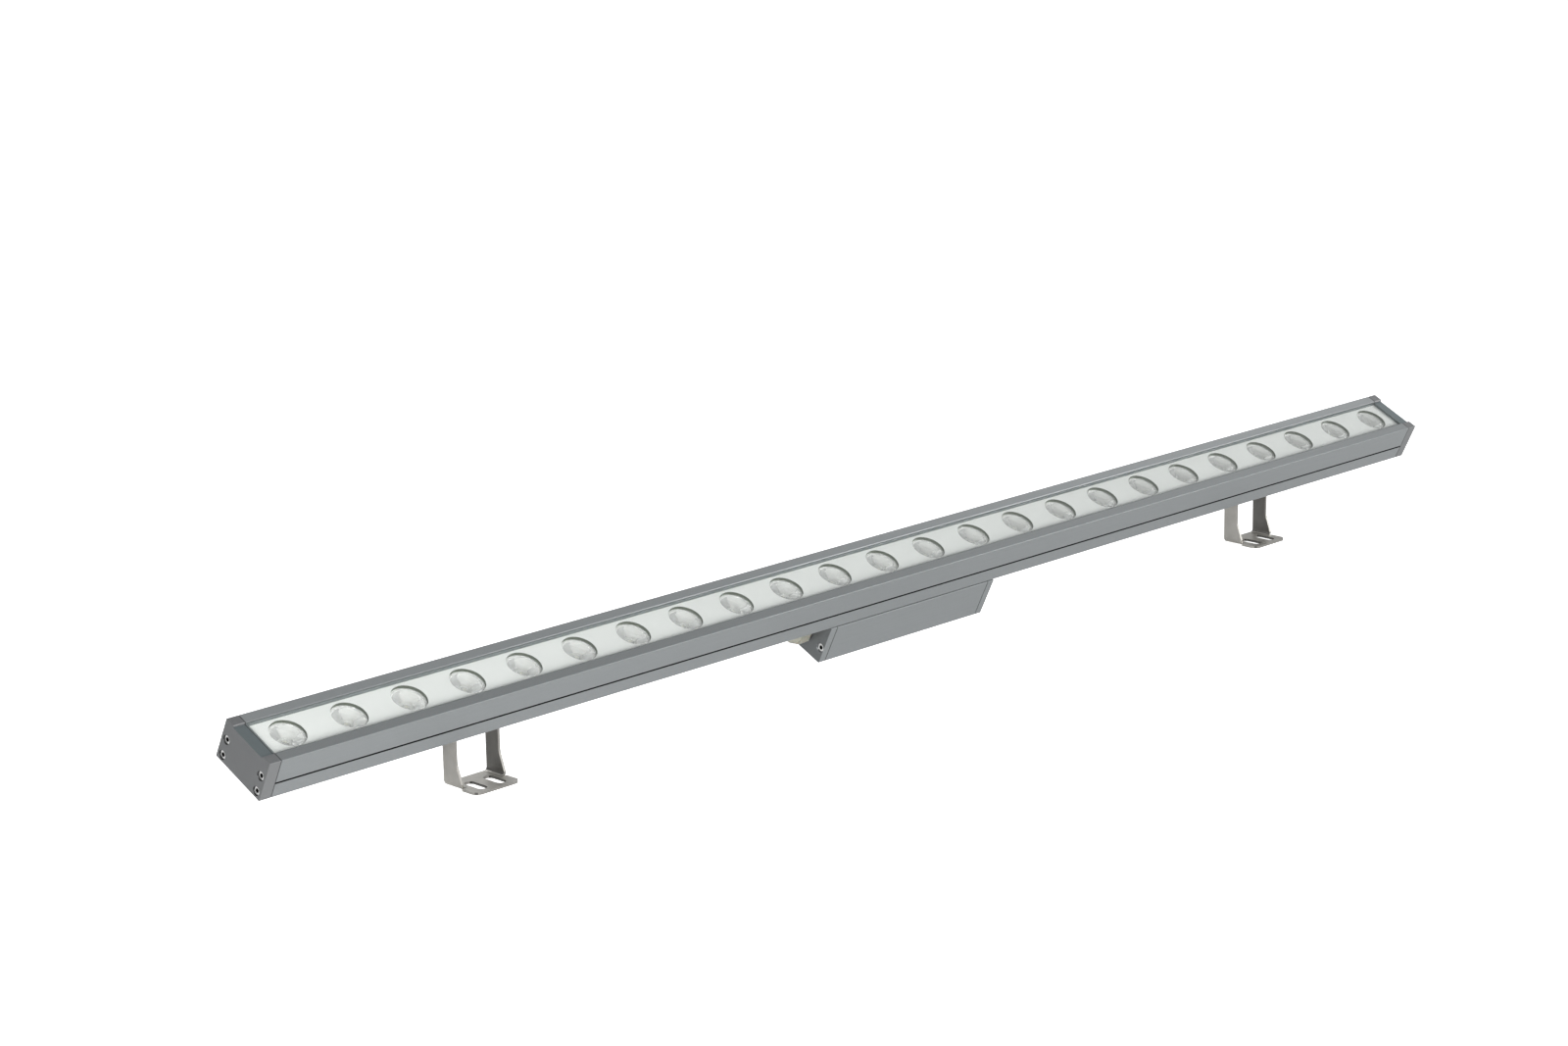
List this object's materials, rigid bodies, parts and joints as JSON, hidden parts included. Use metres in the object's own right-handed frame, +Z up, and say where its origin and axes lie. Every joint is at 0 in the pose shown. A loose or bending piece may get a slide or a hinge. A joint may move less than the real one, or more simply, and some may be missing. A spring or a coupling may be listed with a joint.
{
  "type": "outdoor wall washer light",
  "caption": "Slim linear wall washer: extruded lamp with a row of lenses under glass, a driver box beneath it and sliding, tilting foot brackets.",
  "frame": {"origin": "on the mounting surface under the feet, straight below the tilt axis, midway along the lamp", "axes": "+X along the lamp away from the driver's cable gland, -Y towards the side that the tilted glass faces, +Z up from the mounting surface"},
  "size_m": [1, 0.0581, 0.074],
  "materials": {
    "anodised_aluminium": "satin grey anodised",
    "cap_aluminium": "satin grey anodised, a shade darker",
    "gasket_rubber": "matte",
    "screw_steel": "bright stainless",
    "clear_glass": "toughened, polished",
    "silicone": "satin",
    "white_plate": "satin white",
    "lens_plastic": "moulded clear acrylic",
    "holder_plastic": "matte white",
    "led_phosphor": "silicone dome on a pale package",
    "board_white": "white solder mask on aluminium",
    "wire_insulation": "matte",
    "bush_plastic": "matte",
    "board_green": "green solder mask",
    "ferrite": "matte dark grey",
    "capacitor_sleeve": "shrink sleeve",
    "copper_winding": "enamelled copper",
    "terminal_plastic": "matte",
    "gland_nylon": "moulded cream nylon",
    "washer_nylon": "natural nylon",
    "brushed_stainless": "fine brushed"
  },
  "bodies": {
    "lamp": {"housing": "anodised_aluminium", "end_cap_left": "cap_aluminium", "end_cap_right": "cap_aluminium", "end_gasket_left": "gasket_rubber", "end_gasket_right": "gasket_rubber", "cap_screws_left": "screw_steel", "cap_screws_right": "screw_steel", "front_glass": "clear_glass", "glass_seal": "silicone", "lens_plate": "white_plate", "lenses": "lens_plastic", "lens_holders": "holder_plastic", "led_emitters": "led_phosphor", "led_boards": "board_white", "board_screws": "screw_steel", "board_jumpers": "wire_insulation", "feed_bush": "bush_plastic", "feed_nut": "screw_steel", "feed_wires": "wire_insulation", "driver_case": "anodised_aluminium", "driver_pad": "gasket_rubber", "driver_end_left": "cap_aluminium", "driver_end_right": "cap_aluminium", "driver_gaskets": "gasket_rubber", "driver_end_screws": "screw_steel", "driver_mount_screws": "screw_steel", "driver_t_nuts": "screw_steel", "driver_board": "board_green", "transformer": "ferrite", "filter_capacitors": "capacitor_sleeve", "choke": "copper_winding", "terminal_block": "terminal_plastic", "gland_body": "gland_nylon", "gland_ring": "gasket_rubber", "gland_locknut": "gland_nylon", "gland_seal": "gasket_rubber", "gland_nut": "gland_nylon"},
    "carrier_left": {"t_nut_left": "screw_steel", "pivot_block_left": "cap_aluminium", "clamp_screw_left": "screw_steel", "nylon_washers_left": "washer_nylon", "lock_washers_left": "screw_steel", "pivot_screws_left": "screw_steel"},
    "foot_left": {"bracket_left": "brushed_stainless"},
    "carrier_right": {"t_nut_right": "screw_steel", "pivot_block_right": "cap_aluminium", "clamp_screw_right": "screw_steel", "nylon_washers_right": "washer_nylon", "lock_washers_right": "screw_steel", "pivot_screws_right": "screw_steel"},
    "foot_right": {"bracket_right": "brushed_stainless"}
  },
  "joints": [
    {"name": "left_slide", "type": "slide", "parent": "lamp", "child": "carrier_left", "axis": [1, 0, 0], "range_m": [-0.12, 0.17]},
    {"name": "left_tilt", "type": "hinge", "parent": "carrier_left", "child": "foot_left", "pos_m": [-0.338, 0, 0.0363], "axis": [1, 0, 0], "range_deg": [-64, 116]},
    {"name": "right_slide", "type": "slide", "parent": "lamp", "child": "carrier_right", "axis": [1, 0, 0], "range_m": [-0.17, 0.12]},
    {"name": "right_tilt", "type": "hinge", "parent": "carrier_right", "child": "foot_right", "pos_m": [0.351, 0, 0.0363], "axis": [1, 0, 0], "range_deg": [-64, 116]}
  ]
}
